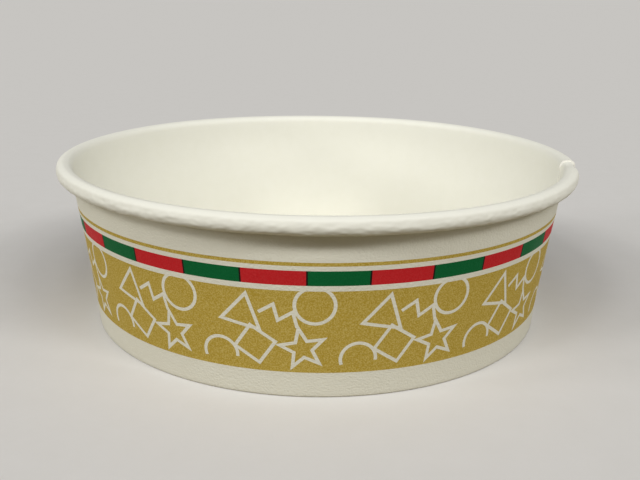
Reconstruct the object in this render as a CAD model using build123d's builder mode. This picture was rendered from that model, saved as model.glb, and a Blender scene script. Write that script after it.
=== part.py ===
import os
from math import acos, atan2, cos, degrees, hypot, pi, sin, tan

from build123d import *

# Overall sizes, in millimetres. The origin is on the floor at the middle of the foot.
rim_diameter = 150.0
foot_diameter = 132.7
cup_height = 46.4

# Side wall: one board, lapped at the seam on +X, rolled outward at the rim and hemmed at the foot
wall_board = 0.4
lap_width = 6.5
lap_bite = 0.05
ramp_width = 14.0
ramp_shares = (0.0, 0.25, 0.5, 0.75, 1.0)
roll_bore = 1.1
roll_clearance = 0.15
roll_chords = 16
tuck_chords = 3
fold_flat_share = 0.6
foot_swell = 0.25

# Base: a disc with a skirt turned down all round, which the hem grips
base_board = 0.35
base_recess = 6.5
base_bend = 0.5
seal_gap = 0.05
hem_clearance = 1.5

# The roll is round for three quarters of a turn, then its edge tucks in beside the wall.
# It grows from its bore, with room left for the second layer of board at the lap.
lap_step = wall_board - lap_bite
roll_step = wall_board + lap_step + roll_clearance
roll_radius = roll_bore / 2 + lap_step + wall_board + roll_step
rim_radius = rim_diameter / 2
roll_center = Vector(rim_radius - roll_radius, cup_height - roll_radius)
tuck_center = roll_center - Vector(0, roll_step)
chord_angle = 360 / roll_chords
over_chords = roll_chords * 3 // 4

# The wall's printed face leans from the waist radius at the floor and runs into the roll without a kink.
# Below the base the foot is pressed outward, so it stands more upright.
foot_radius = foot_diameter / 2
waist_radius = foot_radius - foot_swell
roll_reach = hypot(roll_center.X - waist_radius, roll_center.Y)
roll_bearing = atan2(roll_center.Y, roll_center.X - waist_radius)
lean = acos((roll_radius - wall_board) / roll_reach) - roll_bearing
foot_lean = atan2(base_recess * tan(lean) - foot_swell, base_recess)

hem_gap = base_board + 2 * seal_gap
hem_height = base_recess - hem_clearance
fold_width = 2 * wall_board + hem_gap
fold_bevel = fold_width * (1 - fold_flat_share) / 2

ramp_angle = degrees(ramp_width / rim_radius)
lap_angle = degrees(lap_width / rim_radius)


def wall_point(depth, height):
    # A point of the wall this deep inside its printed face, measured square to it
    return Vector(waist_radius + height * tan(lean) - depth / cos(lean), height)


def foot_point(depth, height):
    # The same for the pressed foot
    return Vector(foot_radius + height * tan(foot_lean) - depth / cos(foot_lean), height)


def cut_corner(before, corner, after, reach):
    # The two ends of a facet that takes this reach off a corner
    return [corner + (point - corner).normalized() * reach for point in (before, after)]


def arc_points(center, radius, start, chords):
    # Points round an arc, clockwise from the start angle
    return [center + Vector(radius, 0).rotate(Axis.Z, start - chord_angle * (k + 1)) for k in range(chords)]


def board_face(depth, lap):
    # One face of the wall board, from the hem's edge round the fold and up the wall to the tuck of the roll
    hem_depth = fold_width - depth
    hem_top = foot_point(hem_depth, hem_height)
    hem_fold = foot_point(hem_depth, depth)
    wall_fold = foot_point(depth, depth)
    press_top = wall_point(depth - lap, base_recess)
    fold = [hem_fold, wall_fold]
    if depth == 0:
        fold = cut_corner(hem_top, hem_fold, wall_fold, fold_bevel)
        fold += cut_corner(hem_fold, wall_fold, press_top, fold_bevel)
    radius = roll_radius - wall_board + depth - lap
    roll_start = roll_center - Vector(cos(lean), -sin(lean)) * radius
    over = arc_points(roll_center, radius, 180, over_chords)
    tuck = arc_points(tuck_center, radius - roll_step, 180 - over_chords * chord_angle, tuck_chords)
    return [hem_top, *fold, press_top, roll_start, *over, *tuck]


def board_section(turn, lap):
    # The board's section on the half plane at this turn about Z, moved out of the wall by the lap's step
    with BuildSketch(Plane.XZ.rotated((0, 0, turn))) as section:
        with BuildLine():
            Polyline(*board_face(0, lap), *reversed(board_face(wall_board, lap)), close=True)
        make_face()
    return section.sketch


def ramp_section(share):
    # The board eases out of the wall's line along the ramp, to pass outside its own first edge
    return board_section(ramp_angle * (share - 1), lap_step * (1 - cos(pi * share)) / 2)


with BuildPart() as side_wall:
    revolve(board_section(-ramp_angle, 0), Axis.Z, ramp_angle - 360)
    loft([ramp_section(share) for share in ramp_shares], ruled=True)
    revolve(board_section(0, lap_step), Axis.Z, lap_angle)
side_wall.part.label = "side_wall"

with BuildPart() as base_disc:
    skirt_foot = wall_board + seal_gap
    skirt_depth = wall_board + seal_gap
    base_top = base_recess + base_board
    outer_edge = foot_point(skirt_depth, skirt_foot)
    inner_edge = foot_point(skirt_depth + base_board, skirt_foot)
    outer_rim = foot_point(skirt_depth, base_top)
    inner_rim = foot_point(skirt_depth + base_board, base_recess)
    upper_middle = Vector(0, base_top)
    lower_middle = Vector(0, base_recess)
    with BuildSketch(Plane.XZ):
        with BuildLine():
            Polyline(
                outer_edge,
                *cut_corner(outer_edge, outer_rim, upper_middle, base_bend),
                upper_middle,
                lower_middle,
                *cut_corner(lower_middle, inner_rim, inner_edge, base_bend),
                inner_edge,
                close=True,
            )
        make_face()
    revolve(axis=Axis.Z)
base_disc.part.label = "base_disc"

os.makedirs("parts", exist_ok=True)
export_step(side_wall.part, "parts/side_wall.step")
export_step(base_disc.part, "parts/base_disc.step")
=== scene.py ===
import math

import bmesh
import bpy
import numpy as np
from mathutils import Matrix, Vector, noise
from mathutils.geometry import delaunay_2d_cdt


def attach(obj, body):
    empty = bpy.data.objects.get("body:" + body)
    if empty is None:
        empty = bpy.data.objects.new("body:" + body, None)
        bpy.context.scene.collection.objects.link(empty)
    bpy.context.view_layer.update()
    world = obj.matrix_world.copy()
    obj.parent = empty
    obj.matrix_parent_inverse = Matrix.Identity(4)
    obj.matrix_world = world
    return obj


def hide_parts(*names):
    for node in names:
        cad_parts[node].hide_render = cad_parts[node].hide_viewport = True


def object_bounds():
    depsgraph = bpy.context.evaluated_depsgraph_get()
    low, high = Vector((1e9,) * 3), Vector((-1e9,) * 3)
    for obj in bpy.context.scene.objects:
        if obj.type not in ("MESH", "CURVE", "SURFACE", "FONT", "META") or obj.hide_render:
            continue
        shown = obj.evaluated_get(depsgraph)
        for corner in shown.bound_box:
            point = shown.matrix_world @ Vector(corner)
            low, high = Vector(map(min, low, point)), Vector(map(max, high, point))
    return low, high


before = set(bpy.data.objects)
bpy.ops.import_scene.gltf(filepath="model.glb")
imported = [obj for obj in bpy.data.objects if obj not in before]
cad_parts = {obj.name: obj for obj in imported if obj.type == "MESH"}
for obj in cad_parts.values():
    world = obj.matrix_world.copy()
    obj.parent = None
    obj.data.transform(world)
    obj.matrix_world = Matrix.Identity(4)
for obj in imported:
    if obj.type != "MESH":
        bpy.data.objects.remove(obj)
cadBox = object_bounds()
scene = bpy.context.scene
mm = 0.001
print("frame loaded:", ", ".join(sorted(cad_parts)))


def linearColour(hexText):  # sRGB hex to the linear values that shaders take
    shares = [int(hexText[k:k + 2], 16) / 255 for k in (1, 3, 5)]
    return tuple(s / 12.92 if s <= 0.04045 else ((s + 0.055) / 1.055) ** 2.4 for s in shares) + (1.0,)


def addNode(tree, kind, inputs=None, **settings):
    node = tree.nodes.new(kind)
    for name, value in settings.items():
        setattr(node, name, value)
    for name, value in (inputs or {}).items():
        socket = next(s for s in node.inputs if s.name == name and s.enabled)
        if isinstance(value, bpy.types.NodeSocket):
            tree.links.new(value, socket)
        else:
            socket.default_value = value
    return node


boardLook = {
    "cloud": 4.0,  # mm, the cloudy formation of the pulp
    "grain": 0.5,  # mm, fibre grain; real fibres are 0.03 mm wide, drawn coarser so that they show
    "grainDepth": 0.18,  # mm, deepened in step with the grain
    "skip": 0.32,  # mm, specks where the ink skips low spots; real ones are finer, drawn coarser to show
    "skipRange": (0.42, 0.62),  # the noise values between which a speck fades in
    "cloudRange": (0.3, 0.7),  # and those between which the clouds change the sheen
    "sheenSpread": 0.05,  # by this much roughness either way
}


# Bleached boxboard. Uncoated it is matt with faint clouds and a fine fibre grain. Under its heat-seal
# film it turns satin and smooth. Offset printed, a thin ink film keeps the grain and skips in tiny specks.
def boxboard(name, colour, clouded, roughness, gloss, grainShow, skipColour=None, skipShare=0.0):
    material = bpy.data.materials.new(name)
    material.use_nodes = True
    tree = material.node_tree
    shader = tree.nodes["Principled BSDF"]
    place = addNode(tree, "ShaderNodeTexCoord").outputs["Object"]
    cloud = addNode(tree, "ShaderNodeTexNoise", {
        "Vector": place, "Scale": 1 / (boardLook["cloud"] * mm), "Detail": 3.0, "Roughness": 0.6})
    grain = addNode(tree, "ShaderNodeTexNoise", {
        "Vector": place, "Scale": 1 / (boardLook["grain"] * mm), "Detail": 2.0, "Roughness": 0.6})
    tint = addNode(tree, "ShaderNodeMix", {
        "Factor": cloud.outputs["Fac"], "A": linearColour(colour),
        "B": linearColour(clouded)}, data_type="RGBA")
    colourOut = tint.outputs["Result"]
    if skipColour:
        skipFrom, skipTo = boardLook["skipRange"]
        speck = addNode(tree, "ShaderNodeTexNoise", {
            "Vector": place, "Scale": 1 / (boardLook["skip"] * mm), "Detail": 1.0, "Roughness": 0.5})
        skipped = addNode(tree, "ShaderNodeMapRange", {
            "Value": speck.outputs["Fac"], "From Min": skipFrom, "From Max": skipTo, "To Max": skipShare})
        inked = addNode(tree, "ShaderNodeMix", {
            "Factor": skipped.outputs["Result"], "A": colourOut,
            "B": linearColour(skipColour)}, data_type="RGBA")
        colourOut = inked.outputs["Result"]
    tree.links.new(colourOut, shader.inputs["Base Color"])
    cloudFrom, cloudTo = boardLook["cloudRange"]
    sheen = addNode(tree, "ShaderNodeMapRange", {
        "Value": cloud.outputs["Fac"], "From Min": cloudFrom, "From Max": cloudTo,
        "To Min": roughness - boardLook["sheenSpread"], "To Max": roughness + boardLook["sheenSpread"]})
    tree.links.new(sheen.outputs["Result"], shader.inputs["Roughness"])
    relief = addNode(tree, "ShaderNodeBump", {
        "Height": grain.outputs["Fac"], "Strength": grainShow, "Distance": boardLook["grainDepth"] * mm})
    tree.links.new(relief.outputs["Normal"], shader.inputs["Normal"])
    shader.inputs["IOR"].default_value = 1.5
    shader.inputs["Specular IOR Level"].default_value = gloss
    return material


# Each board or ink: colour, clouded colour, roughness, gloss, how much grain shows, then specks in the ink
mattBoard = boxboard("boxboard_uncoated", "#E8E6D7", "#E2DFCE", 0.7, 0.08, 0.8)
filmBoard = boxboard("boxboard_heat_seal_film", "#EFEEE3", "#EBEADD", 0.5, 0.1, 0.03)
# The base's film is the wall's heat-seal film drawn darker: painted shade that holds down the strong light
# on the cup's floor
shadedBaseBoard = boxboard("boxboard_heat_seal_film_painted_shade", "#DFDCD1", "#DAD7CA", 0.5, 0.1, 0.03)
cutBoard = boxboard("boxboard_cut_edge", "#F7F5EE", "#F0EDE3", 0.8, 0.05, 0.2)
goldInk = boxboard("offset_ink_gold", "#B69A3D", "#B09438", 0.55, 0.05, 0.5, "#D2BC6E", 0.65)
redInk = boxboard("offset_ink_red", "#C8262B", "#C02428", 0.5, 0.05, 0.4, "#CB3E40", 0.3)
greenInk = boxboard("offset_ink_green", "#0B6132", "#0A5A2E", 0.5, 0.05, 0.4, "#1B6C3E", 0.3)
blackInk = boxboard("offset_ink_black", "#181613", "#201D18", 0.5, 0.05, 0.4)
boardMaterials = (mattBoard, filmBoard, cutBoard, goldInk, redInk, greenInk, blackInk)
matt, film, cut, gold, red, green, black = range(len(boardMaterials))  # slots on the wall board
print("materials made for the wall:", len(boardMaterials))

wall = {  # mm; the main sizes are those of the solids
    "board": 0.4,
    "footRadius": 66.35,
    "footSwell": 0.25,  # the foot is pressed this far outward
    "pressTop": 6.5,
    "flare": 0.25,  # the wall swells a little under the rolled rim
    "flareRise": (24.0, 37.0),
    "flareFall": (37.5, 44.0),
    "rollRadius": 2.2,
    # The roll is blunt, with a flat inside its top: degrees round it, height and spread in degrees
    "rollShape": ((40, 0.15, 14), (90, 0.11, 48), (101, -0.14, 19)),
    "rollStep": 0.9,  # how much tighter the tucked edge turns
    "tuckTurn": 67.5,  # degrees
    "hemGap": 0.45,
    "hemTop": 5.0,
    "foldRadius": 0.4,
    "foldCrease": 0.05,  # the tightest the inner face bends
    "lapWidth": 6.5,
    "lapStep": 0.41,  # the board and a hair of sealing film
    "rampWidth": 14.0,
    "seamDip": 0.3,  # the roll is squeezed in just before the inner edge
    "dipAngle": 9.0,
    "edgeSwell": 0.04,  # on the roll the inner edge stands up
    "edgeCrush": 0.22,  # on the wall it is pressed thin
    "edgeAngle": 4.0,
    "cornerCut": 10.0,  # degrees over which the inner edge is cut back to clear the hem
    "cornerSlack": 0.15,  # degrees more than the lap
    "cornerRise": (0.15, 0.8),  # where up the foot the cut ends, as shares of the lap's step
    "puckerHeight": 0.105,  # lumps under the rolled rim
    "puckerFade": 1.3,  # radians round the roll, from where they fade in downward
    "puckerBroad": (4.5, 1.5),  # their lengths along and across the rim
    "puckerFine": (1.25, 0.75),
    "broadShare": 0.8,
    "waveHeight": 0.12,  # the rim is not quite level
    "waves": ((2, 1.0, 0.6), (5, 0.5, 2.1)),  # count round the rim, share, phase
    "knurls": 96,  # pressed round the hem
    "knurlDepth": 0.06,
    "columns": 480,
    "lapColumns": 8,
    "rampColumns": 18,
    "hemRows": 4,
    "foldRows": 4,
    "rollRows": 36,
    "tuckRows": 6,
    "heights": (  # of the rows up the wall
        1.2, 3.2, 5.0, 6.7, 9.4, 12.1, 14.8, 17.5, 20.2, 22.9, 25.5, 27.95, 29.3, 31.2, 32.95, 34.1, 35.0,
        37.2, 39.6, 41.0, 42.2, 43.4),
    # The print, along the wall and above the floor
    "goldBand": (6.7, 27.95),
    "checkBand": (29.3, 32.95),
    "pinstripe": (34.1, 35.0),
    "checkStart": 120.25,  # degrees, where one green block begins
    "checkPitch": 24.25,
    "greenShare": 0.484,
    "dividerWidth": 0.4,
    "dividerClear": 1.0,  # from the ends of the sheet
    "figureRepeats": 13,
    "lineWidth": 0.82,
    "figureMargin": 0.05,  # inside the ends of the sheet, where figures are cut off
    "figures": (  # kind, along, up from the band's foot, size, turn
        ("star", 7.4, 6.4, 5.4, -10),
        ("ring", 4.6, 17.6, 4.6, 0),
        ("zigzag", 12.4, 15.2, 4.8, 22),
        ("triangle", 21.4, 14.6, 5.4, 12),
        ("square", 18.6, 7.0, 5.0, 34),
        ("arch", 27.2, 3.6, 4.2, -20),
    ),
}
rimRadius = cadBox[1].x / mm
cupHeight = cadBox[1].z / mm
rollCentre = np.array((rimRadius - wall["rollRadius"], cupHeight - wall["rollRadius"]))
waistRadius = wall["footRadius"] - wall["footSwell"]
foldWidth = 2 * wall["board"] + wall["hemGap"]
reachOut = rollCentre[0] - waistRadius
lean = math.acos((wall["rollRadius"] - wall["board"]) / math.hypot(reachOut, rollCentre[1]))
lean -= math.atan2(rollCentre[1], reachOut)
footLean = math.atan2(wall["pressTop"] * math.tan(lean) - wall["footSwell"], wall["pressTop"])
rampAngle = math.degrees(wall["rampWidth"] / rimRadius)
lapAngle = math.degrees(wall["lapWidth"] / rimRadius)


def smooth(value, start, end):  # eases from 0 to 1
    share = np.clip((value - start) / (end - start), 0, 1)
    return share * share * (3 - 2 * share)


def wallRadius(height, depth=0.0):  # of the wall board, this deep inside its printed face
    foot = wall["footRadius"] + height * math.tan(footLean) - depth / math.cos(footLean)
    upper = waistRadius + height * math.tan(lean) - depth / math.cos(lean)
    flare = wall["flare"] * smooth(height, *wall["flareRise"]) * (1 - smooth(height, *wall["flareFall"]))
    return np.where(np.less(height, wall["pressTop"]), foot, upper + flare)


# A row of the board: radius, height, the way its printed side faces, then its shares in the lap's step,
# the roll, the lumps, the knurls and the coated face
def boardRow(radius, height, facing, lap=0.0, roll=0.0, pucker=0.0, knurl=0.0, coated=0.0):
    shares = (lap, roll, pucker, knurl, coated)
    return (float(radius), float(height), math.cos(facing), math.sin(facing), *shares)


def wallRow(height, depth=0.0):
    lap = min(1.0, max(0.0, height / wall["pressTop"]))
    return boardRow(wallRadius(height, depth), height, -lean, lap, coated=float(depth > 0))


def boardRows(depth):  # one face: hem, fold, wall, roll and tuck
    bend = max(wall["foldRadius"] - depth, wall["foldCrease"])
    foldTop = depth + bend
    coated = float(depth > 0)
    rows = []
    for height in np.linspace(wall["hemTop"], foldTop, wall["hemRows"] + 1)[:-1]:
        knurl = math.sin(math.pi * (height - foldTop) / (wall["hemTop"] - foldTop)) ** 0.5
        rows.append(boardRow(wallRadius(height, foldWidth - depth), height, math.pi, knurl=knurl))
    for start, side, inward in ((180, foldWidth - depth, bend), (270, depth, -bend)):
        centre = float(wallRadius(foldTop, side)) + inward
        for angle in np.radians(np.linspace(start, start + 90, wall["foldRows"])):
            rows.append(boardRow(centre + bend * math.cos(angle), foldTop + bend * math.sin(angle), angle))
    rows += [wallRow(height, depth) for height in wall["heights"]]
    radius = wall["rollRadius"] - wall["board"] + depth
    for angle in np.radians(np.linspace(180 - math.degrees(lean), -90, wall["rollRows"])):
        turned = math.degrees(angle)
        bump = sum(h * math.exp(-((turned - at) / wide) ** 2) for at, h, wide in wall["rollShape"])
        spot = rollCentre + (radius + bump) * np.array((math.cos(angle), math.sin(angle)))
        pucker = min(1.0, max(0.0, wall["puckerFade"] - angle))
        rows.append(boardRow(*spot, angle + math.pi, 1.0, 1.0, pucker, 0.0, coated))
    radius -= wall["rollStep"]
    for angle in np.radians(np.linspace(-90, -90 - wall["tuckTurn"], wall["tuckRows"] + 1)[1:]):
        spot = rollCentre - (0, wall["rollStep"]) + radius * np.array((math.cos(angle), math.sin(angle)))
        rows.append(boardRow(*spot, angle + math.pi, 1.0, 1.0, 1.0, 0.0, coated))
    return np.array(rows)


def puckerAt(along, across):  # lumps drawn out along the rim, in millimetres
    broadLong, broadHigh = wall["puckerBroad"]
    fineLong, fineHigh = wall["puckerFine"]
    broad = noise.noise(Vector((along / broadLong, across / broadHigh, 0.0)))
    fine = noise.noise(Vector((along / fineLong, across / fineHigh, 7.0)))  # another layer of the noise
    return wall["puckerHeight"] * (wall["broadShare"] * broad + fine)


def placed(rows, turns):  # points in metres for rows at turns, in degrees clockwise from the seam
    rows, turns = np.broadcast_arrays(rows, np.asarray(turns)[..., None])
    turns = turns[..., 0]
    radius, height, faceOut, faceUp, lap, roll, pucker, knurl, coated = np.moveaxis(rows, -1, 0)
    cutBack = (lapAngle + wall["cornerSlack"]) * (1 - smooth(lap, *wall["cornerRise"]))
    angle = -np.radians(turns - cutBack * np.clip((turns - 360) / wall["cornerCut"] + 1, 0, 1))
    ramp = (1 - np.cos(np.pi * np.clip(1 - turns / rampAngle, 0, 1))) / 2
    before = np.clip(turns / wall["dipAngle"], 0, 1)
    dip = 27 / 4 * before * (1 - before) ** 2  # 1 at its deepest
    edge = np.clip((turns - 360) / wall["edgeAngle"] + 1, 0, 1) ** 2
    step = lap * wall["lapStep"] * ramp + roll * wall["seamDip"] * dip
    step = step + coated * edge * (lap * (1 - roll) * wall["edgeCrush"] - roll * wall["edgeSwell"])
    step = step + knurl * wall["knurlDepth"] * np.cos(wall["knurls"] * angle)
    across = wall["rollRadius"] * np.arctan2(height - rollCentre[1], radius - rollCentre[0])
    lumps = np.zeros_like(step)
    for k in np.argwhere(pucker > 0):
        k = tuple(k)
        lumps[k] = pucker[k] * puckerAt(rimRadius * angle[k], across[k])
    step = step + lumps
    radius = radius + faceOut * step
    level = sum(share * np.sin(count * angle + phase) for count, share, phase in wall["waves"])
    level = wall["waveHeight"] * level
    rise = np.clip(height / cupHeight, 0, 1) ** 4  # the waves die away towards the foot
    height = height + faceUp * step + level * rise
    return np.stack((radius * np.cos(angle), radius * np.sin(angle), height), -1) * mm


perDegree = math.radians(1) * float(wallRadius(sum(wall["goldBand"]) / 2))
repeatWidth = 360 * perDegree / wall["figureRepeats"]


def circlePoints(start, end, count, radii=(1.0,)):
    angles = np.radians(np.linspace(start, end, count, endpoint=False))
    return [radii[k % len(radii)] * np.array((math.cos(a), math.sin(a))) for k, a in enumerate(angles)]


figurePaths = {  # unit paths, and whether they close
    "star": (circlePoints(90, 450, 10, (1.0, 0.42)), True),
    "ring": (circlePoints(0, 360, 44), True),
    "square": (circlePoints(45, 405, 4), True),
    "triangle": (circlePoints(90, 450, 3), True),
    "arch": (circlePoints(0, 215, 28), False),
    "zigzag": ([(-1.0, -0.35), (-0.5, 0.35), (0.0, -0.35), (0.5, 0.35), (1.0, -0.35)], False),
}


def strokeLoops(path, closed, width):  # outlines of a line of this width along a path, with mitred corners
    path = np.array(path, float)
    ahead = np.roll(path, -1, 0) - path
    ahead /= np.linalg.norm(ahead, axis=1)[:, None]
    side = np.stack((-ahead[:, 1], ahead[:, 0]), 1)
    before = np.roll(side, 1, 0)
    if not closed:
        before[0] = side[0]
        side[-1] = before[-1]
    mitre = (before + side) / (1 + (before * side).sum(1))[:, None] * width / 2
    if closed:
        return [path + mitre, path - mitre]
    return [np.concatenate((path + mitre, (path - mitre)[::-1]))]


def divided(loop, length=0.9):  # a closed loop with no edge longer than this
    points = []
    for start, end in zip(loop, np.roll(loop, -1, 0)):
        count = max(1, math.ceil(np.linalg.norm(end - start) / length))
        points += [start + (end - start) * k / count for k in range(count)]
    return np.array(points)


def figureStrokes():  # every figure all round: a list of loops for each
    strokes = []
    low, high = wall["goldBand"]
    margin = wall["figureMargin"]
    start, end = -lapAngle * perDegree, 360 * perDegree
    for repeat in range(-1, wall["figureRepeats"] + 2):
        for kind, along, up, size, turn in wall["figures"]:
            path, closed = figurePaths[kind]
            c, s = math.cos(math.radians(turn)), math.sin(math.radians(turn))
            path = np.array(path) @ np.array(((c, s), (-s, c))) * size
            path += (start + along + repeat * repeatWidth, low + up)
            loops = [divided(loop) for loop in strokeLoops(path, closed, wall["lineWidth"])]
            if path[:, 0].max() < start - 1 or path[:, 0].min() > end + 1:  # off the sheet
                continue
            strokes.append([np.clip(loop, (start + margin, low), (end - margin, high)) for loop in loops])
    return strokes


def insideLoops(points, loops):  # even-odd test, all loops together
    inside = np.zeros(len(points), bool)
    for loop in loops:
        for (x0, y0), (x1, y1) in zip(loop, np.roll(loop, -1, 0)):
            crosses = (points[:, 1] < y0) != (points[:, 1] < y1)
            if y1 != y0:
                inside ^= crosses & (points[:, 0] < x0 + (points[:, 1] - y0) * (x1 - x0) / (y1 - y0))
    return inside


turns = np.concatenate((
    np.linspace(-lapAngle, 0, wall["lapColumns"] + 1)[:-1],
    np.linspace(0, rampAngle, wall["rampColumns"] + 1)[:-1],
    np.linspace(rampAngle, 360, wall["columns"]),
))


def printedStrip():  # the printed face as triangles along the print's own edges
    points, edges = [], []

    def addLine(line, closed=False):
        first = len(points)
        points.extend(line)
        edges.extend((first + k, first + k + 1) for k in range(len(line) - 1))
        if closed:
            edges.append((first + len(line) - 1, first))

    along = turns * perDegree
    levels = [*wall["goldBand"], *wall["checkBand"], *wall["pinstripe"]]
    for height in (wall["heights"][0], *levels, wall["heights"][-1]):
        addLine([(x, height) for x in along])
    for x in (along[0], along[-1]):
        addLine([(x, height) for height in wall["heights"]])
    for height in sorted(set(wall["heights"][1:-1]) - set(levels)):
        points.extend((x, height) for x in along[1:-1])
    around = math.ceil(360 / wall["checkPitch"])
    blocks = np.arange(-around, around + 1) * wall["checkPitch"] + wall["checkStart"]
    borders = np.concatenate((blocks, blocks + wall["checkPitch"] * wall["greenShare"]))
    half = wall["dividerWidth"] / 2
    clear = wall["dividerClear"]
    borders = [b * perDegree for b in borders if along[0] + clear < b * perDegree < along[-1] - clear]
    for border in borders:
        for x in (border - half, border + half):
            addLine([(x, height) for height in np.linspace(*wall["checkBand"], 5)])
    strokes = figureStrokes()
    for loops in strokes:
        for loop in loops:
            addLine(list(map(tuple, loop)), closed=True)
    verts, _, faces, *_ = delaunay_2d_cdt([Vector(p) for p in points], edges, [], 0, 1e-6)
    flat = np.array([tuple(v) for v in verts])
    middles = flat[np.array(faces)].mean(1)
    inks = np.full(len(faces), matt)
    for low, high in (wall["goldBand"], wall["pinstripe"]):
        inks[(middles[:, 1] > low) & (middles[:, 1] < high)] = gold
    checked = (middles[:, 1] > wall["checkBand"][0]) & (middles[:, 1] < wall["checkBand"][1])
    phase = (middles[:, 0] / perDegree - wall["checkStart"]) % wall["checkPitch"]
    inks[checked] = np.where(phase < wall["checkPitch"] * wall["greenShare"], green, red)[checked]
    for border in borders:
        inks[checked & (abs(middles[:, 0] - border) < half)] = black
    for loops in strokes:
        lowest = np.min([loop.min(0) for loop in loops], 0)
        highest = np.max([loop.max(0) for loop in loops], 0)
        near = np.flatnonzero(np.all((middles > lowest) & (middles < highest), 1) & (inks == gold))
        inks[near[insideLoops(middles[near], loops)]] = matt
    rows = np.array([wallRow(height) for height in flat[:, 1]])
    return placed(rows, flat[:, 0] / perDegree), faces, inks


class MeshParts:  # gathers points, faces and their material slots for one mesh
    def __init__(self):
        self.points, self.faces, self.slots, self.count = [], [], [], 0

    def add(self, points, faces, slots):
        self.points.append(points.reshape(-1, 3))
        self.faces += [[k + self.count for k in face] for face in faces]
        self.slots += list(np.broadcast_to(slots, len(faces)))
        self.count += len(self.points[-1])

    def addGrid(self, points, slot):
        rows, columns = points.shape[:2]
        self.add(points, [
            (r * columns + c, r * columns + c + 1, (r + 1) * columns + c + 1, (r + 1) * columns + c)
            for r in range(rows - 1) for c in range(columns - 1)], slot)

    def addJoin(self, coarse, fine, slot):  # between a line and one with twice as many steps
        n = len(coarse)
        faces = []
        for k in range(n - 1):
            left, middle, right = n + 2 * k, n + 2 * k + 1, n + 2 * k + 2
            faces += [(k, middle, left), (k, k + 1, middle), (k + 1, right, middle)]
        self.add(np.concatenate((coarse, fine)), faces, slot)

    def build(self, name, materials, weld=0.001, sharpAngle=40):  # millimetres and degrees
        mesh = bpy.data.meshes.new(name)
        mesh.from_pydata(np.concatenate(self.points).tolist(), [], self.faces)
        mesh.polygons.foreach_set("material_index", np.array(self.slots, np.int32))
        for material in materials:
            mesh.materials.append(material)
        shape = bmesh.new()
        shape.from_mesh(mesh)
        bmesh.ops.remove_doubles(shape, verts=shape.verts, dist=weld * mm)
        bmesh.ops.recalc_face_normals(shape, faces=shape.faces)
        openEdges = sum(not e.is_manifold for e in shape.edges)
        triangles = sum(len(f.verts) - 2 for f in shape.faces)
        shape.to_mesh(mesh)
        shape.free()
        mesh.polygons.foreach_set("use_smooth", np.ones(len(mesh.polygons), bool))
        mesh.set_sharp_from_angle(angle=math.radians(sharpAngle))
        piece = bpy.data.objects.new(name, mesh)
        scene.collection.objects.link(piece)
        print(name, "triangles", triangles, "open edges", openEdges)
        return piece


wallParts = MeshParts()
coatedRows = boardRows(wall["board"])
printedRows = boardRows(0.0)
fineFrom = int(np.argmax(coatedRows[:, 6] > 0))  # the first row with lumps, which need closer columns
fineTurns = np.sort(np.concatenate((turns, (turns[1:] + turns[:-1]) / 2)))
wallParts.addGrid(placed(coatedRows[:fineFrom, None], turns), film)
wallParts.addJoin(placed(coatedRows[fineFrom - 1], turns), placed(coatedRows[fineFrom], fineTurns), film)
wallParts.addGrid(placed(coatedRows[fineFrom:, None], fineTurns), film)
stripFrom = int(np.flatnonzero(printedRows[:, 1] == wall["heights"][0])[-1])
stripTo = stripFrom + len(wall["heights"])
wallParts.addGrid(placed(printedRows[:stripFrom + 1, None], turns), matt)
wallParts.add(*printedStrip())
wallParts.addGrid(placed(printedRows[stripTo - 1:, None], turns), matt)
# The cut edges of the hem, of the roll and of the lap's two ends
wallParts.addGrid(placed(np.stack((printedRows[0], coatedRows[0]))[:, None], turns), cut)
wallParts.addJoin(placed(printedRows[-1], turns), placed(coatedRows[-1], fineTurns), cut)
for turn in (turns[0], turns[-1]):
    wallParts.addGrid(placed(np.stack((printedRows, coatedRows)), turn), cut)
wallPiece = wallParts.build("side_wall_board", boardMaterials)
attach(wallPiece, "root")
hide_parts("side_wall")

base = {  # mm
    "board": 0.35,
    "underside": 6.5,
    "skirtDepth": 0.45,  # inside the wall's printed face
    "skirtFoot": 0.45,
    "bend": 0.7,  # radius of the upper face where the skirt turns down
    "innerBend": 0.4,
    "dome": 0.25,
    "gathers": 150,  # small pleats where the skirt turns down
    "gatherDepth": 0.05,
    "columns": 450,
    "rings": 12,
    "edgeRings": (6.0, 4.0, 2.5, 1.4),  # these far inside the edge the rings close up
    "bendRows": 9,
    "skirtRows": 4,
}


# One face of the base, from the middle out and down the skirt: radius, height, gather share
def baseRows(depth, level, bend):
    edge = float(wallRadius(level - bend, base["skirtDepth"] + depth))
    first, *others = (edge - inside for inside in base["edgeRings"])
    rows = [(radius, level + base["dome"] * (1 - (radius / edge) ** 2) ** 2, 0.0)
            for radius in (*np.linspace(0.0, first, base["rings"]), *others)]
    for angle in np.radians(np.linspace(90, 0, base["bendRows"])):
        rows.append((edge - bend + bend * math.cos(angle), level - bend + bend * math.sin(angle), 1.0))
    for height in np.linspace(level - bend, base["skirtFoot"], base["skirtRows"] + 1)[1:]:
        rows.append((float(wallRadius(height, base["skirtDepth"] + depth)), height, 0.0))
    return np.array(rows)


baseAngles = np.radians(np.linspace(0, 360, base["columns"] + 1))
gather = base["gatherDepth"] * np.abs(np.sin(base["gathers"] / 2 * baseAngles)) ** 3
baseFaces = []
for rows in (
    baseRows(0.0, base["underside"] + base["board"], base["bend"]),
    baseRows(base["board"], base["underside"], base["innerBend"]),
):
    radius = rows[:, :1] - rows[:, 2:] * gather
    height = np.broadcast_to(rows[:, 1:2], radius.shape)
    baseFaces.append(np.stack((radius * np.cos(baseAngles), radius * np.sin(baseAngles), height), -1) * mm)
baseParts = MeshParts()
for slot, points in enumerate(baseFaces):
    baseParts.addGrid(points, slot)
baseParts.addGrid(np.stack([points[-1] for points in baseFaces]), 2)
# the upper face takes the darker film, painted shade for the brightly lit floor of the cup
basePiece = baseParts.build("base_disc_board", (shadedBaseBoard, mattBoard, cutBoard))
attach(basePiece, "root")
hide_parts("base_disc")
print("cup built")

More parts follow.
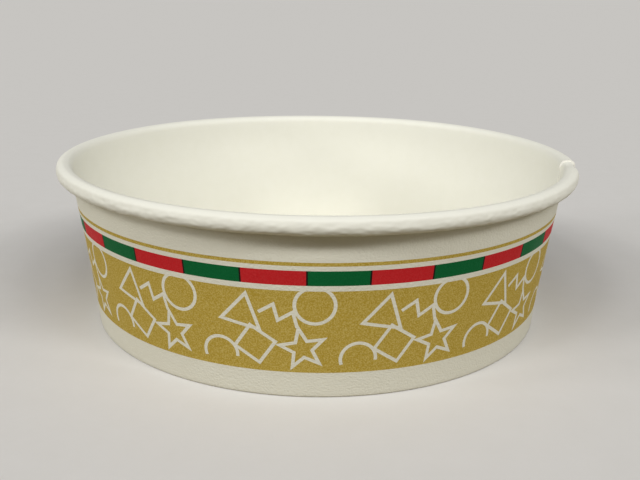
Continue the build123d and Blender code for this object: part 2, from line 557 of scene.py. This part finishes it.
stage = {
    "floorSize": 60.0,  # metres, so that it runs out to the horizon
    "paleColour": "#DAD8D5",
    "mottleColour": "#D5D3CF",
    "mottle": 9.0,  # mm
    "farColour": "#C7C5C1",  # the floor as the lamps light it, so that no horizon shows
    "bounceColour": "#8A806A",  # what the cup gets back from the floor
    "roomColour": "#4A4845",  # dim light from all round
}
floorMesh = bpy.data.meshes.new("studio_floor")
half = stage["floorSize"] / 2
corners = [(-half, -half, 0), (half, -half, 0), (half, half, 0), (-half, half, 0)]
floorMesh.from_pydata(corners, [], [(0, 1, 2, 3)])
floor = bpy.data.objects.new("studio_floor", floorMesh)
scene.collection.objects.link(floor)


def seenOnly(tree, hidden, shown):  # shown to the camera and in gloss, hidden from light that bounces on
    path = addNode(tree, "ShaderNodeLightPath")
    seen = path.outputs["Is Camera Ray"]
    for ray in ("Is Glossy Ray", "Is Transmission Ray"):
        either = addNode(tree, "ShaderNodeMath", operation="MAXIMUM")
        tree.links.new(seen, either.inputs[0])
        tree.links.new(path.outputs[ray], either.inputs[1])
        seen = either.outputs["Value"]
    mix = addNode(tree, "ShaderNodeMix", {"Factor": seen, "A": hidden, "B": shown}, data_type="RGBA")
    return mix.outputs["Result"]


# Matt background paper: pale and faintly mottled to the eye, with less of it thrown back up the cup
backdropPaper = bpy.data.materials.new("background_paper_matt")
backdropPaper.use_nodes = True
floorMesh.materials.append(backdropPaper)
tree = backdropPaper.node_tree
place = addNode(tree, "ShaderNodeTexCoord").outputs["Object"]
mottle = addNode(tree, "ShaderNodeTexNoise", {
    "Vector": place, "Scale": 1 / (stage["mottle"] * mm), "Detail": 4.0, "Roughness": 0.7})
paper = addNode(tree, "ShaderNodeMix", {
    "Factor": mottle.outputs["Fac"], "A": linearColour(stage["paleColour"]),
    "B": linearColour(stage["mottleColour"])}, data_type="RGBA")
bounce = linearColour(stage["bounceColour"])
shader = tree.nodes["Principled BSDF"]
tree.links.new(seenOnly(tree, bounce, paper.outputs["Result"]), shader.inputs["Base Color"])
shader.inputs["Roughness"].default_value = 0.9
shader.inputs["Specular IOR Level"].default_value = 0.0
world = bpy.data.worlds.new("studio")
world.use_nodes = True
scene.world = world
tree = world.node_tree
room = seenOnly(tree, linearColour(stage["roomColour"]), linearColour(stage["farColour"]))
tree.links.new(room, tree.nodes["Background"].inputs["Color"])

# Where the photo was taken from, fitted to the cup's outlines; millimetres and degrees
view = {
    "away": 238.4,
    "above": 17.442,
    "round": 8.0,
    "aim": (0.936, 0.0, 18.188),
    "roll": 0.778,
    "lens": 42.98,
}
camera = bpy.data.objects.new("camera", bpy.data.cameras.new("camera"))
scene.collection.objects.link(camera)
camera.data.lens = view["lens"]
camera.data.sensor_width = 36.0
camera.data.clip_start = 0.01
orbit = Matrix.Rotation(math.radians(view["round"]), 4, "Z") @ Matrix.Translation(Vector(view["aim"]) * mm)
orbit = orbit @ Matrix.Rotation(math.radians(90 - view["above"]), 4, "X")
orbit = orbit @ Matrix.Translation((0, 0, view["away"] * mm))
camera.matrix_world = orbit @ Matrix.Rotation(math.radians(view["roll"]), 4, "Z")
scene.camera = camera

# A long strip light above and in front of the cup, as a row of soft suns that light the floor evenly
stripLight = {
    "height": 1.24,  # above the floor, for each 1.0 in front of the cup
    "width": 12.0,  # degrees, how wide each lamp looks
    "lamps": (  # how far aside, and strength
        (-4.5, 0.66), (-1.4, 0.68), (-0.8, 0.57), (-0.35, 0.28),
        (0.35, 0.45), (0.8, 0.53), (1.4, 0.78), (4.5, 0.24)),
}
for number, (aside, strength) in enumerate(stripLight["lamps"]):
    name = f"strip_lamp_{number + 1}"
    light = bpy.data.objects.new(name, bpy.data.lights.new(name, "SUN"))
    light.data.angle = math.radians(stripLight["width"])
    light.data.energy = strength
    scene.collection.objects.link(light)
    place = Vector((aside, -1.0, stripLight["height"]))
    place.rotate(Matrix.Rotation(math.radians(view["round"]), 3, "Z"))
    light.rotation_euler = place.to_track_quat("Z", "Y").to_euler()
scene.view_settings.view_transform = "Standard"
print("stage, camera and lamps set")
